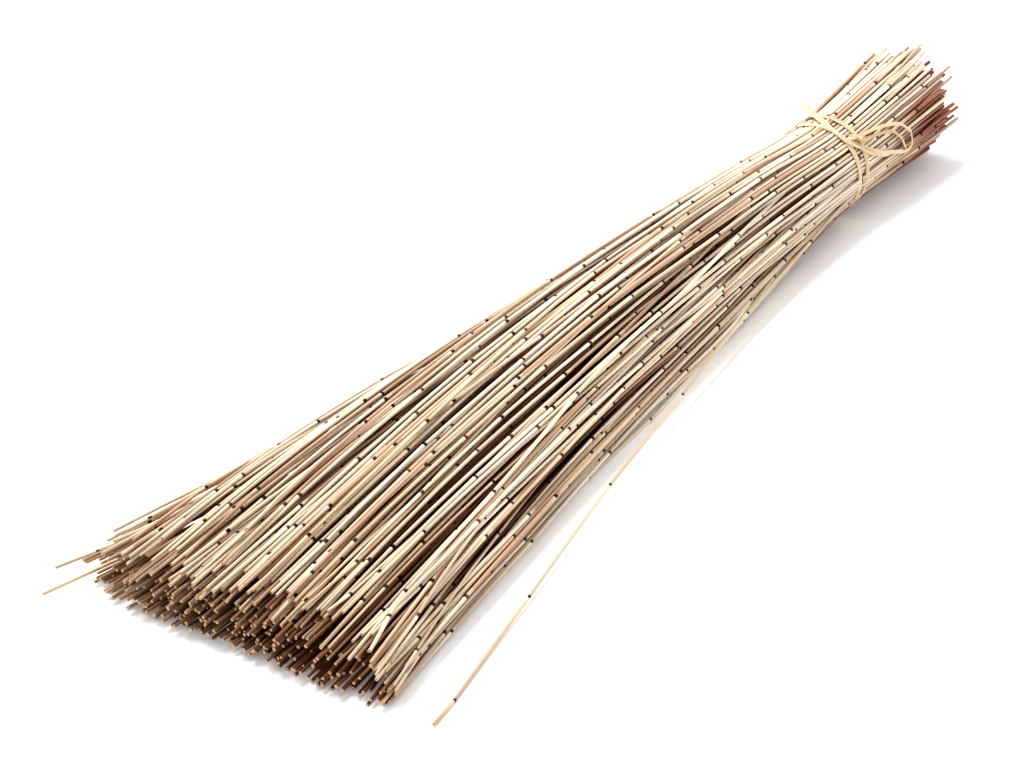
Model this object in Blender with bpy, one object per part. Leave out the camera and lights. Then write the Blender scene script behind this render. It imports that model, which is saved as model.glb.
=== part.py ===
import math
import random

import bmesh
import bpy
import numpy as np
from mathutils import Vector

# A bunch of dried reeds lying on the floor, tied with raffia near its butt ends.
# All sizes are in metres. X runs along the bunch, from the fanned ends at -X through the
# tie near x = 0 to the butt ends at +X. Z is up, and the floor is z = 0.

# Length of the bunch on each side of the tie.
FAN_LENGTH = 0.864
BUTT_LENGTH = 0.168

# Shape of the fan, given at the tie, halfway along and at the fanned ends.
FAN_HALF_WIDTH = (0.0415, 0.0712, 0.1375)
FAN_TOP = (0.0862, 0.0958, 0.0402)
FAN_SIDE_SHIFT = (0.0, -0.0094, -0.0118)

# Shape at the butt ends.
BUTT_HALF_WIDTH = 0.0515
BUTT_TOP = 0.1045
BUTT_SIDE_SHIFT = 0.0070

# Height of the round stretch's underside over the floor, at the tie and at the butt ends.
TIE_LIFT = 0.0035
BUTT_LIFT = 0.0005

# The round bunch sinks into a heap that lies flat on the floor over this share of the fan.
HEAP_SHARE = 0.35

# Reeds modelled one by one on the outside, side by side over this stretch of the waist.
REED_COUNT = 51
WAIST_START = math.radians(-45)
WAIST_END = math.radians(225)
# A reed sways sideways as it runs, by this many waves for each metre.
SWAY_TURNS = (0.5, 1.4)
REED_RADIUS_AT_TIE = 0.00160
REED_RADIUS_AT_FAN = 0.00138
REED_RADIUS_AT_BUTT = 0.00168
REED_THINNEST = 0.84
GAP = 0.0003
# A reed sinks this far below the outermost ones at most, away from the tie.
REED_DIP = 0.0045

# How the ends are cut: the upper reeds end further back than those on the floor.
FAN_END_SLANT = 0.55
FAN_END_RAGGED = 0.010
# Past this y, the reeds end further and further back: the share is metres back for each aside.
FAN_CORNER_Y = 0.080
FAN_CORNER_BACK = 0.30
BUTT_END_RAGGED = 0.016
# Share of the butt ends' raggedness by which a reed may stand out past the others.
BUTT_END_PROUD = 0.3
# Reeds at the +Y edge of the fan, counted from that edge, whose tips leave the others: how
# far they reach past the fan's end, and how far they spread towards +Y and up.
LOOSE_REEDS = {
    0: (0.023, 0.0, 0.0), 1: (-0.008, 0.0, 0.0), 2: (-0.011, 0.001, 0.0),
    3: (0.001, 0.004, 0.001), 5: (-0.040, 0.009, 0.009), 6: (-0.030, 0.004, 0.006),
}
# Share of the fan's length from where they spread.
LOOSE_FROM = 0.68

# The sheaf is all the reeds inside, as one fluted solid.
FLUTE_DEPTH = 0.0014
FLUTE_GAP = 0.0004
SHEAF_END_RAGGED = 0.007
SHEAF_UNDERSIDE_POINTS = 7
SHEAF_END_INSET = 0.80
# A ridge between two reeds starts this high, as a share of their radius, and is lowered in
# steps until it leaves both of them free.
RIDGE_HEIGHT = 0.8
RIDGE_STEP = 0.0001

# The stray reed leaves its place in the row at the tie and bows out sideways to the floor.
STRAY_SLOT = 5
STRAY_SPREAD = 0.097
STRAY_BOW = 0.079
STRAY_SINK = 1.6
STRAY_RADIUS = 0.00140
STRAY_TIP = 0.872

# The raffia is a flat strand, wound round the reeds twice, knotted on top and tied in a bow.
# It is spread wide where it is pulled tight, and narrow in the loose loops.
WRAP_WIDTH = 0.0060
CROSSING_WIDTH = 0.0055
LOOP_WIDTH = 0.0034
RAFFIA_THICKNESS = 0.0010
RAFFIA_CLEARANCE = 0.0006
FIRST_WRAP_X = -0.013
SECOND_WRAP_X = 0.003
# Each wrap wanders along X by this much, most of all at this angle round the bunch.
FIRST_WRAP_WANDER = (-0.001, math.radians(60))
SECOND_WRAP_WANDER = (0.004, math.radians(135))
WRAP_STEPS = 40
STRAND_STEPS = 3
KNOT_X = -0.002
KNOT_ANGLE = math.radians(46)
KNOT_SIZE = (0.0065, 0.0052, 0.0030)
KNOT_SEGMENTS = 10
KNOT_RINGS = 6

# Routes of the loose strands: millimetres along X, degrees round from the -Y side over the
# top, and millimetres over the reeds.
CROSSING_ROUTE = [
    (11, 124, 13), (6, 112, 6), (2, 103, 0.7), (-8, 88, 0.6), (-14, 76, 0.6), (-15, 60, 0.6),
    (-11, 48, 0.7), (-2, 38, 0.7), (8, 27, 0.5), (27, 16, 0.6), (45, 8, 0.8),
]
OUTER_LOOP_ROUTE = [
    (0, 47, 1.6), (18, 45, 2.4), (36, 41, 3.0), (56, 34, 3.6), (69, 26, 4.0), (79, 14, 4.0),
    (81, 5, 3.6), (77, -1, 3.0), (69, -2, 2.2), (56, 3, 1.5), (40, 10, 1.1),
]
INNER_LOOP_ROUTE = [
    (2, 42, 1.0), (20, 38, 1.2), (38, 33, 1.6), (53, 27, 2.2), (63, 15, 2.6), (69, 5, 2.0),
    (72, -4, 1.0), (71, -10, 0.2),
]
MILLIMETRE = 0.001

# Cross-sections of the loft, as shares of the fan's length and then of the butt's length.
FAN_STATIONS = (1.0, 0.86, 0.70, 0.52, 0.34, 0.17)
WAIST_STATION = -0.005
BUTT_STATIONS = (0.46, 1.0)
HEAP_SAMPLES = 90
OUTLINE_SAMPLES = 72
# Half the share of the outline over which its outward direction is measured.
OUTWARD_REACH = 0.004

# Colours of the outer reeds, of the shaded reeds inside and of the raffia.
STRAW = (0.62, 0.46, 0.29)
SHADED_STRAW = (0.42, 0.29, 0.18)
RAFFIA_STRAW = (0.82, 0.70, 0.48)
STRAW_BRIGHTNESS = (0.8, 1.15)
STRAW_REDNESS = (-0.02, 0.04)

draw = random.Random(14)


def through(start, middle, end, t):
    """The parabola that has these three values at t = 0, 0.5 and 1."""
    rise = 4 * middle - 3 * start - end
    curve = 2 * start + 2 * end - 4 * middle
    return start + rise * t + curve * t * t


def mix(a, b, share):
    return a + (b - a) * share


def smooth(share):
    share = min(max(share, 0.0), 1.0)
    return share * share * (3 - 2 * share)


class Section:
    """The outline across the bunch at one x: an ellipse at the tie, a heap in the fan."""

    def __init__(self, x):
        self.x = x
        if x <= 0:
            t = -x / FAN_LENGTH
            self.half_width = through(*FAN_HALF_WIDTH, t)
            self.top = through(*FAN_TOP, t)
            self.shift = through(*FAN_SIDE_SHIFT, t)
            self.lift = TIE_LIFT * max(1 - t / HEAP_SHARE, 0) ** 2
            self.heap = smooth(t / HEAP_SHARE)
            self.reed_radius = mix(REED_RADIUS_AT_TIE, REED_RADIUS_AT_FAN, t)
            power = 2 + t * t
        else:
            t = x / BUTT_LENGTH
            self.half_width = mix(FAN_HALF_WIDTH[0], BUTT_HALF_WIDTH, t)
            self.top = mix(FAN_TOP[0], BUTT_TOP, t)
            self.shift = mix(FAN_SIDE_SHIFT[0], BUTT_SIDE_SHIFT, t)
            self.lift = mix(TIE_LIFT, BUTT_LIFT, t)
            self.heap = 0.0
            self.reed_radius = mix(REED_RADIUS_AT_TIE, REED_RADIUS_AT_BUTT, t)
            power = 2
        turn = np.linspace(0, math.pi, HEAP_SAMPLES)
        across = -np.sign(np.cos(turn)) * np.abs(np.cos(turn)) ** (2 / power)
        up = np.abs(np.sin(turn)) ** (2 / power)
        self.heap_y = self.shift + self.half_width * across
        self.heap_z = self.top * up
        steps = np.hypot(np.diff(self.heap_y), np.diff(self.heap_z))
        self.heap_length = np.concatenate(([0], np.cumsum(steps)))

    def middle(self):
        return Vector((self.x, self.shift, (self.lift + self.top) / 2))

    def ellipse_point(self, angle):
        """Angle 0 is the -Y side, a quarter turn is the top."""
        half_height = (self.top - self.lift) / 2
        y = self.shift - self.half_width * math.cos(angle)
        return Vector((self.x, y, self.lift + half_height * (1 + math.sin(angle))))

    def over(self, u):
        """A point on the outline, from the -Y foot (u = 0) over the top to the +Y foot."""
        angle = mix(WAIST_START, WAIST_END, u)
        round_point = self.ellipse_point(angle)
        total = self.heap_length[-1]
        foot = self.reed_radius + GAP
        along = foot + u * (total - 2 * foot)
        y = np.interp(along, self.heap_length, self.heap_y)
        z = np.interp(along, self.heap_length, self.heap_z)
        return round_point.lerp(Vector((self.x, y, z)), self.heap)

    def outward(self, u):
        along = self.over(u + OUTWARD_REACH) - self.over(u - OUTWARD_REACH)
        return Vector((0, -along.z, along.y)).normalized()

    def under(self, share, left_y, right_y):
        """A point on the underside, from the +Y foot (share = 0) to the -Y foot."""
        angle = mix(WAIST_END, WAIST_START + 2 * math.pi, share)
        flat_point = Vector((self.x, mix(left_y, right_y, share), 0))
        return self.ellipse_point(angle).lerp(flat_point, self.heap)


def station_list():
    fan = [-FAN_LENGTH * share for share in FAN_STATIONS]
    butt = [BUTT_LENGTH * share for share in BUTT_STATIONS]
    return [Section(x) for x in fan + [WAIST_STATION] + butt]


def slide_to(end, neighbour, x):
    """Move an end point along its own straight stretch until it is at x."""
    share = (x - neighbour.x) / (end.x - neighbour.x)
    return neighbour.lerp(end, share)


def fan_end_x(point):
    """Where the fan ends for a reed that passes through this point."""
    corner = max(point.y - FAN_CORNER_Y, 0) * FAN_CORNER_BACK
    return -FAN_LENGTH + FAN_END_SLANT * point.z + corner


def trim_ends(points, fan_x, butt_x):
    trimmed = [point.copy() for point in points]
    trimmed[0] = slide_to(points[0], points[1], fan_x)
    trimmed[-1] = slide_to(points[-1], points[-2], butt_x)
    return trimmed


def loosening(x):
    """Share of its spread that a loose reed has at x: all of it at the fan's end."""
    return max((-x / FAN_LENGTH - LOOSE_FROM) / (1 - LOOSE_FROM), 0) ** 2


class Reed:
    """One outer reed: its middle line through the stations and its radius there."""

    def __init__(self, number, sections):
        share = (number + 0.5) / REED_COUNT
        thickness = draw.uniform(REED_THINNEST, 1.0)
        sway = draw.uniform(-1, 1)
        sway_turns = draw.uniform(*SWAY_TURNS)
        sway_phase = draw.uniform(0, math.tau)
        dip = draw.random() * REED_DIP
        fan_noise = draw.uniform(-1, 1) * FAN_END_RAGGED
        butt_noise = draw.uniform(-1, BUTT_END_PROUD) * BUTT_END_RAGGED
        half_slot = 0.5 / REED_COUNT
        self.points = []
        self.radii = []
        self.normals = []
        for section in sections:
            radius = section.reed_radius * thickness
            slot = section.over(share + half_slot) - section.over(share - half_slot)
            room = max(slot.length - 2 * section.reed_radius - GAP, 0) / 2
            away = min(abs(section.x) / BUTT_LENGTH, 1)
            wave = sway * math.sin(sway_phase + sway_turns * math.tau * section.x)
            u = share + wave * room * away / (slot.length * REED_COUNT)
            normal = section.outward(u)
            point = section.over(u) - normal * (section.reed_radius + dip * away)
            point.z = max(point.z, section.reed_radius + GAP)
            self.points.append(point)
            self.radii.append(radius)
            self.normals.append(normal)
        from_edge = REED_COUNT - 1 - number
        fan_x = fan_end_x(self.points[0]) + fan_noise
        line = self.points
        if from_edge in LOOSE_REEDS:
            reach, aside, up = LOOSE_REEDS[from_edge]
            fan_x = -FAN_LENGTH - reach
            line = [point + loosening(point.x) * Vector((0, aside, up)) for point in line]
        self.trimmed = trim_ends(line, fan_x, BUTT_LENGTH + butt_noise)


def line_distance(point, start, end):
    """Distance in the YZ plane from a point to the line through start and end."""
    along = Vector((end.y - start.y, end.z - start.z))
    aside = Vector((point.y - start.y, point.z - start.z))
    return abs(along.x * aside.y - along.y * aside.x) / along.length


def ridge_point(reeds, number, station, valleys):
    """The sheaf's ridge between two outer reeds, as high as leaves both of them free."""
    left, right = reeds[number], reeds[number + 1]
    a, b = left.points[station], right.points[station]
    normal = (left.normals[station] + right.normals[station]).normalized()
    height = left.radii[station] * RIDGE_HEIGHT
    lowest = -left.radii[station] - FLUTE_DEPTH / 2
    free = left.radii[station] / REED_THINNEST + FLUTE_GAP
    while height > lowest:
        ridge = (a + b) / 2 + normal * height
        left_room = line_distance(a, valleys[number], ridge)
        right_room = line_distance(b, valleys[number + 1], ridge)
        if min(left_room, right_room) > free:
            break
        height -= RIDGE_STEP
    return (a + b) / 2 + normal * height


def sheaf_ring(section, station, reeds):
    valleys = []
    for reed in reeds:
        depth = reed.radii[station] / REED_THINNEST + FLUTE_DEPTH
        valley = reed.points[station] - reed.normals[station] * depth
        valley.z = max(valley.z, GAP)
        valleys.append(valley)
    ring = []
    for number, valley in enumerate(valleys):
        ring.append(valley)
        if number < REED_COUNT - 1:
            ring.append(ridge_point(reeds, number, station, valleys))
    left_y, right_y = valleys[-1].y - GAP, valleys[0].y + GAP
    margin = 1 - section.heap
    for step in range(SHEAF_UNDERSIDE_POINTS):
        share = (step + margin) / (SHEAF_UNDERSIDE_POINTS - 1 + 2 * margin)
        ring.append(section.under(share, left_y, right_y))
    return ring


def ragged_end(x_end):
    return x_end + draw.uniform(-1, 1) * SHEAF_END_RAGGED


def add_loft(bm, rings):
    rows = [[bm.verts.new(point) for point in ring] for ring in rings]
    count = len(rows[0])
    for near, far in zip(rows, rows[1:]):
        for k in range(count):
            bm.faces.new((near[k], near[(k + 1) % count], far[(k + 1) % count], far[k]))
    return rows


def close_end(bm, row, section, end_at):
    """Cap a fluted end with a smooth inner ring and a fan of faces from its middle."""
    middle = section.middle()
    over_count = 2 * REED_COUNT - 1
    inner = []
    for k, vert in enumerate(row):
        if k < over_count:
            target = section.over(k / (over_count - 1))
        else:
            target = vert.co
        point = middle.lerp(target, SHEAF_END_INSET)
        point.x = end_at(point)
        inner.append(bm.verts.new(point))
    middle.x = end_at(middle)
    centre = bm.verts.new(middle)
    count = len(row)
    for k in range(count):
        after = (k + 1) % count
        bm.faces.new((row[k], row[after], inner[after], inner[k]))
        bm.faces.new((inner[k], inner[after], centre))


def finish_mesh(bm, name):
    bmesh.ops.triangulate(bm, faces=bm.faces)
    bmesh.ops.recalc_face_normals(bm, faces=bm.faces)
    mesh = bpy.data.meshes.new(name)
    bm.to_mesh(mesh)
    bm.free()
    return bpy.data.objects.new(name, mesh)


def make_sheaf(sections, reeds):
    rings = [sheaf_ring(section, k, reeds) for k, section in enumerate(sections)]
    fan_end = [
        slide_to(end, near, ragged_end(fan_end_x(end)))
        for end, near in zip(rings[0], rings[1])
    ]
    butt_end = [
        slide_to(end, near, ragged_end(BUTT_LENGTH - SHEAF_END_RAGGED))
        for end, near in zip(rings[-1], rings[-2])
    ]
    bm = bmesh.new()
    rows = add_loft(bm, [fan_end] + rings[1:-1] + [butt_end])
    inside = 2 * SHEAF_END_RAGGED
    close_end(bm, rows[0], sections[0], lambda point: fan_end_x(point) + inside)
    close_end(bm, rows[-1], sections[-1], lambda point: BUTT_LENGTH - inside)
    return finish_mesh(bm, "reed_sheaf")


def make_reed(name, points, radii):
    """A six-sided tapering stem along its middle line, closed at both cut ends."""
    curve = bpy.data.curves.new(name, "CURVE")
    curve.dimensions = "3D"
    curve.bevel_depth = 1.0
    curve.bevel_resolution = 1
    curve.use_fill_caps = True
    spline = curve.splines.new("POLY")
    spline.points.add(len(points) - 1)
    for knot, point, radius in zip(spline.points, points, radii):
        knot.co = (*point, 1)
        knot.radius = radius
    return bpy.data.objects.new(name, curve)


def make_stray(slot):
    """A reed that keeps its slot from the tie to its butt, and strays from the fan."""
    waist = slot.points[len(FAN_STATIONS)]
    lowest = STRAY_RADIUS + GAP
    points = []
    for point in slot.points:
        away = waist.x - point.x
        if away > 0:
            sink = max(1 - away / FAN_LENGTH, 0) ** STRAY_SINK
            y = waist.y - STRAY_SPREAD * away - STRAY_BOW * away ** 2
            point = Vector((point.x, y, mix(lowest, waist.z, sink)))
        points.append(point)
    trimmed = trim_ends(points, -STRAY_TIP, slot.trimmed[-1].x)
    return make_reed("stray_reed", trimmed, [STRAY_RADIUS] * len(points))


def whole_outline(section):
    """The outline round all of a section, over the reeds and back along the underside."""
    points = [section.over(k / (OUTLINE_SAMPLES - 1)) for k in range(OUTLINE_SAMPLES)]
    for k in range(SHEAF_UNDERSIDE_POINTS):
        share = (k + 1) / (SHEAF_UNDERSIDE_POINTS + 1)
        points.append(section.under(share, section.over(1).y, section.over(0).y))
    return points


def skin_reach(sections, x, angle):
    """The bunch's middle at x, and how far its outside is from there at an angle round it."""
    after = next(k for k, section in enumerate(sections) if section.x > x)
    near, far = sections[after - 1], sections[after]
    share = (x - near.x) / (far.x - near.x)
    middle = near.middle().lerp(far.middle(), share)
    both = zip(whole_outline(near), whole_outline(far))
    outline = [near_point.lerp(far_point, share) - middle for near_point, far_point in both]
    # Each point's distance along the direction and aside from it: the outside is where the
    # outline crosses from one side of the direction to the other.
    direction = Vector((0, -math.cos(angle), math.sin(angle)))
    sideways = Vector((0, direction.z, -direction.y))
    places = [(point.dot(direction), point.dot(sideways)) for point in outline]
    reach = 0.0
    for (ahead, aside), (next_ahead, next_aside) in zip(places, places[1:] + places[:1]):
        if (aside <= 0) != (next_aside <= 0):
            crossing = mix(ahead, next_ahead, aside / (aside - next_aside))
            reach = max(reach, crossing)
    return middle, reach


def on_skin(sections, x, angle, height):
    """A point this high over the reeds, and the direction away from them there."""
    middle, reach = skin_reach(sections, x, angle)
    outward = Vector((0, -math.cos(angle), math.sin(angle)))
    middle.x = x
    return middle + outward * (reach + height), outward


def add_strand(bm, knots, closed, width):
    """A flat strand through knots of (point, outward direction)."""
    count = len(knots)
    rings = []
    for k, (point, outward) in enumerate(knots):
        before = knots[k - 1][0] if closed or k > 0 else point
        after = knots[(k + 1) % count][0] if closed or k < count - 1 else point
        along = (after - before).normalized()
        side = along.cross(outward).normalized() * width / 2
        lift = side.cross(along).normalized() * RAFFIA_THICKNESS
        if lift.dot(outward) < 0:
            lift = -lift
        rings.append((point - side, point + side, point + side + lift, point - side + lift))
    if closed:
        rings.append(rings[0])
    rows = [[bm.verts.new(p) for p in ring] for ring in rings]
    if closed:
        for vert in rows[-1]:
            bm.verts.remove(vert)
        rows[-1] = rows[0]
    for near, far in zip(rows, rows[1:]):
        for k in range(4):
            bm.faces.new((near[k], near[(k + 1) % 4], far[(k + 1) % 4], far[k]))
    if not closed:
        bm.faces.new(rows[0])
        bm.faces.new(rows[-1])


def spline_through(points, steps):
    """A smooth run through hand-placed points, as many steps between each two."""
    padded = [points[0]] + points + [points[-1]]
    run = []
    for k in range(1, len(padded) - 2):
        p0, p1, p2, p3 = padded[k - 1:k + 3]
        for step in range(steps):
            t = step / steps
            run.append(tuple(
                0.5 * (2 * b + (c - a) * t + (2 * a - 5 * b + 4 * c - d) * t ** 2
                       + (3 * b - a - 3 * c + d) * t ** 3)
                for a, b, c, d in zip(p0, p1, p2, p3)
            ))
    run.append(points[-1])
    return run


def make_wrap(sections, x_middle, wander, widest_at):
    """One turn of raffia round the bunch, which wanders along X as it goes."""
    knots = []
    for step in range(WRAP_STEPS):
        angle = math.tau * step / WRAP_STEPS
        x = x_middle + wander * math.cos(angle - widest_at)
        knots.append(on_skin(sections, x, angle, RAFFIA_CLEARANCE))
    bm = bmesh.new()
    add_strand(bm, knots, closed=True, width=WRAP_WIDTH)
    return finish_mesh(bm, "wrap")


def make_open_strand(sections, route, width):
    knots = []
    for x, degrees, up in spline_through(route, STRAND_STEPS):
        height = RAFFIA_CLEARANCE + up * MILLIMETRE
        knots.append(on_skin(sections, x * MILLIMETRE, math.radians(degrees), height))
    bm = bmesh.new()
    add_strand(bm, knots, closed=False, width=width)
    return finish_mesh(bm, "strand")


def make_knot(sections):
    point, outward = on_skin(sections, KNOT_X, KNOT_ANGLE, RAFFIA_CLEARANCE + KNOT_SIZE[2])
    bm = bmesh.new()
    bmesh.ops.create_uvsphere(bm, u_segments=KNOT_SEGMENTS, v_segments=KNOT_RINGS, radius=1)
    turn = outward.to_track_quat("Z", "X").to_matrix()
    for vert in bm.verts:
        size = Vector(a * b for a, b in zip(vert.co, KNOT_SIZE))
        vert.co = point + turn @ size
    return finish_mesh(bm, "knot")


def make_tie(sections, helpers):
    """Two wraps, the crossing strand, the knot and a double bow, joined as one tie."""
    tie = make_wrap(sections, FIRST_WRAP_X, *FIRST_WRAP_WANDER)
    tie.name = "raffia_tie"
    joined = [
        make_wrap(sections, SECOND_WRAP_X, *SECOND_WRAP_WANDER),
        make_open_strand(sections, CROSSING_ROUTE, CROSSING_WIDTH),
        make_open_strand(sections, OUTER_LOOP_ROUTE, LOOP_WIDTH),
        make_open_strand(sections, INNER_LOOP_ROUTE, LOOP_WIDTH),
        make_knot(sections),
    ]
    for number, helper in enumerate(joined):
        helper.name = f"tie_strand_{number + 1}"
        helper.hide_render = True
        helper.display_type = "WIRE"
        helpers.objects.link(helper)
        union = tie.modifiers.new(helper.name, "BOOLEAN")
        union.operation = "UNION"
        union.object = helper
    return tie


def material(name, colour, roughness):
    made = bpy.data.materials.new(name)
    made.use_nodes = True
    shader = made.node_tree.nodes["Principled BSDF"]
    shader.inputs["Base Color"].default_value = (*colour, 1)
    shader.inputs["Roughness"].default_value = roughness
    made.diffuse_color = (*colour, 1)
    return made


def reed_material(name):
    straw = Vector(STRAW) * draw.uniform(*STRAW_BRIGHTNESS)
    straw.x += draw.uniform(*STRAW_REDNESS)
    return material(name, straw, 0.55)


def clear_scene():
    for leftover in list(bpy.data.objects):
        bpy.data.objects.remove(leftover)


def new_collection(name):
    collection = bpy.data.collections.new(name)
    bpy.context.scene.collection.children.link(collection)
    return collection


def centre_on_floor(parts, bunch, helpers):
    """Parent everything to an empty that puts the middle of the bunch's box over the origin."""
    bpy.context.view_layer.update()
    graph = bpy.context.evaluated_depsgraph_get()
    xs, ys = [], []
    for part in parts:
        shape = part.evaluated_get(graph)
        for vert in shape.to_mesh().vertices:
            xs.append(vert.co.x)
            ys.append(vert.co.y)
        shape.to_mesh_clear()
    empty = bpy.data.objects.new("bunch_origin", None)
    empty.location = (-(min(xs) + max(xs)) / 2, -(min(ys) + max(ys)) / 2, 0)
    bunch.objects.link(empty)
    for part in parts + list(helpers.objects):
        part.parent = empty


def main():
    clear_scene()
    bunch = new_collection("bunch_of_reeds")
    helpers = new_collection("tie_strands")
    sections = station_list()
    reeds = [Reed(number, sections) for number in range(REED_COUNT)]
    parts = []
    straight = reeds[:STRAY_SLOT] + reeds[STRAY_SLOT + 1:]
    for number, reed in enumerate(straight, start=1):
        name = f"reed_{number:02d}"
        stem = make_reed(name, reed.trimmed, reed.radii)
        stem.data.materials.append(reed_material(name))
        parts.append(stem)
    stray = make_stray(reeds[STRAY_SLOT])
    stray.data.materials.append(reed_material("stray_reed"))
    sheaf = make_sheaf(sections, reeds)
    sheaf.data.materials.append(material("reed_sheaf", SHADED_STRAW, 0.65))
    tie = make_tie(sections, helpers)
    tie.data.materials.append(material("raffia", RAFFIA_STRAW, 0.5))
    parts += [stray, sheaf, tie]
    for part in parts:
        bunch.objects.link(part)
    centre_on_floor(parts, bunch, helpers)


main()
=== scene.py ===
import math

import bpy
import numpy as np
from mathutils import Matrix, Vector


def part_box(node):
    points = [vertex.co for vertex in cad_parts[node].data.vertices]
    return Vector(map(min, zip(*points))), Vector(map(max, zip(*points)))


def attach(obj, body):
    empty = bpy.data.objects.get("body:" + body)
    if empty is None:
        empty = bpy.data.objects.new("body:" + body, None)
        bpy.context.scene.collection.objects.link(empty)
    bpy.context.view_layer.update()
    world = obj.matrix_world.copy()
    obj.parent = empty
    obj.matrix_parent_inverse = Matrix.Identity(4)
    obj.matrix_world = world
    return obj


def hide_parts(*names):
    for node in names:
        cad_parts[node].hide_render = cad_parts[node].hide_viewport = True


# A bunch of dried reeds, tied with raffia and lying on a pale floor.
# X runs along the bunch: the fanned ends are at -X and the tied butt ends at +X.

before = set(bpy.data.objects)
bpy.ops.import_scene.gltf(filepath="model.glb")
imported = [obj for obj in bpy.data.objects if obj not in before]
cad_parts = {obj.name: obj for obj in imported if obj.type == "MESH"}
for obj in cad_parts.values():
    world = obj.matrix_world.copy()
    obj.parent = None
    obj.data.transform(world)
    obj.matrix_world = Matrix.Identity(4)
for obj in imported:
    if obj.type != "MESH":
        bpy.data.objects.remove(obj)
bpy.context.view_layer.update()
draw = np.random.default_rng(27)
mm = 0.001
nothing = 1e-9             # keeps a division by a distance from failing


def smoothThrough(knots, values, at):
    # a cubic run through the values at the knots, straight on past both ends
    slopes = np.gradient(values, knots, axis=0)
    inside = np.clip(at, knots[0], knots[-1])
    after = np.clip(np.searchsorted(knots, inside), 1, len(knots) - 1)
    span = (knots[after] - knots[after - 1])[:, None]
    t = (inside - knots[after - 1])[:, None] / span
    start, end = values[after - 1], values[after]
    startSlope, endSlope = slopes[after - 1] * span, slopes[after] * span
    run = start + (end - start) * t * t * (3 - 2 * t)
    run = run + startSlope * t * (1 - t) ** 2 - endSlope * t * t * (1 - t)
    edgeSlope = np.where((at < knots[0])[:, None], slopes[0], slopes[-1])
    return run + edgeSlope * (at - inside)[:, None]


# The camera of the photograph, and the light.

view = {
    "lens": 101.54,
    "clipStart": 0.05,
    "place": (-1.7691, -1.0276, 0.9913),
    "target": (-0.1136, 0.0475, 0.0200),
}

studio = {
    "floorSize": 60.0,
    "floorColour": (0.90, 0.90, 0.91),
    "floorRoughness": 0.9,
    "floorGlow": 0.10,
    "skyStrength": 0.67,
    "keyPlace": (0.3, 1.2, 2.8),
    "keySize": 1.3,
    "keyPower": 62.0,
    "fillPlace": (-2.2, -1.6, 2.6),
    "fillSize": 2.4,
    "fillPower": 4.0,
    "look": "High Contrast",
}


def makeCamera():
    data = bpy.data.cameras.new("camera")
    data.lens = view["lens"]
    data.clip_start = view["clipStart"]
    camera = bpy.data.objects.new("camera", data)
    place = Vector(view["place"])
    camera.location = place
    camera.rotation_euler = (Vector(view["target"]) - place).to_track_quat("-Z", "Y").to_euler()
    bpy.context.scene.collection.objects.link(camera)
    bpy.context.scene.camera = camera


def makeLamp(name, place, size, power):
    data = bpy.data.lights.new(name, "AREA")
    data.shape = "DISK"
    data.size = size
    data.energy = power
    lamp = bpy.data.objects.new(name, data)
    lamp.location = place
    lamp.rotation_euler = (-Vector(place)).to_track_quat("-Z", "Y").to_euler()
    bpy.context.scene.collection.objects.link(lamp)


def newMaterial(name):
    made = bpy.data.materials.new(name)
    made.use_nodes = True
    return made, made.node_tree.nodes["Principled BSDF"]


def makeStudio():
    world = bpy.data.worlds.new("studioSky")
    world.use_nodes = True
    sky = world.node_tree.nodes["Background"]
    sky.inputs["Color"].default_value = (1, 1, 1, 1)
    sky.inputs["Strength"].default_value = studio["skyStrength"]
    bpy.context.scene.world = world
    bpy.context.scene.view_settings.view_transform = "Standard"
    bpy.context.scene.view_settings.look = studio["look"]
    makeLamp("keyLight", studio["keyPlace"], studio["keySize"], studio["keyPower"])
    makeLamp("fillLight", studio["fillPlace"], studio["fillSize"], studio["fillPower"])
    half = studio["floorSize"] / 2
    mesh = bpy.data.meshes.new("floor")
    corners = [(-half, -half, 0), (half, -half, 0), (half, half, 0), (-half, half, 0)]
    mesh.from_pydata(corners, [], [(0, 1, 2, 3)])
    floor = bpy.data.objects.new("floor", mesh)
    bpy.context.scene.collection.objects.link(floor)
    paper, shader = newMaterial("whitePaper")
    shader.inputs["Base Color"].default_value = (*studio["floorColour"], 1)
    shader.inputs["Roughness"].default_value = studio["floorRoughness"]
    shader.inputs["Emission Color"].default_value = (1, 1, 1, 1)
    shader.inputs["Emission Strength"].default_value = studio["floorGlow"]
    mesh.materials.append(paper)


makeCamera()
makeStudio()
print("stage: camera and light")


# Outer reeds: their middle lines are read from the solids of the frame.

def reedLine(node):
    # middle and radius of each ring of a modelled reed, from the fanned end to the butt
    verts = np.array([vert.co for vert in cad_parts[node].data.vertices])
    # a corner is there once for each of its triangles
    verts = np.unique(verts.round(6), axis=0)
    verts = verts[np.argsort(verts[:, 0])]
    ringGap = 10 * mm
    rings = np.split(verts, np.flatnonzero(np.diff(verts[:, 0]) > ringGap) + 1)
    middles = np.array([ring.mean(axis=0) for ring in rings])
    radii = np.array([np.linalg.norm(ring - ring.mean(axis=0), axis=1).mean() for ring in rings])
    return middles, radii


reedNames = sorted(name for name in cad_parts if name.startswith("reed_") and name != "reed_sheaf")
strayName = "stray_reed"
bunch = {
    "tieX": 0.3579,        # middle of the two wraps
    "straySlot": 5,        # place of the stray reed in the row of outer reeds
    "innerCount": 470,
    "innerPieces": 5,      # number of meshes that the inner reeds are shared out over
    "innerRadius": (1.14 * mm, 1.74 * mm),  # at the tie
    "fanTaper": 0.86,      # radius at the fanned ends, as a share of that at the tie
    "stations": 40,        # sections across the bunch, in which the reeds are placed
    "stationsPast": (0.03, 0.012),          # the first and last lie this far past the ends
    "shareLimit": 1.05,    # fanShare and buttShare are 1 at the ends, and at most this past them
}

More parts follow.
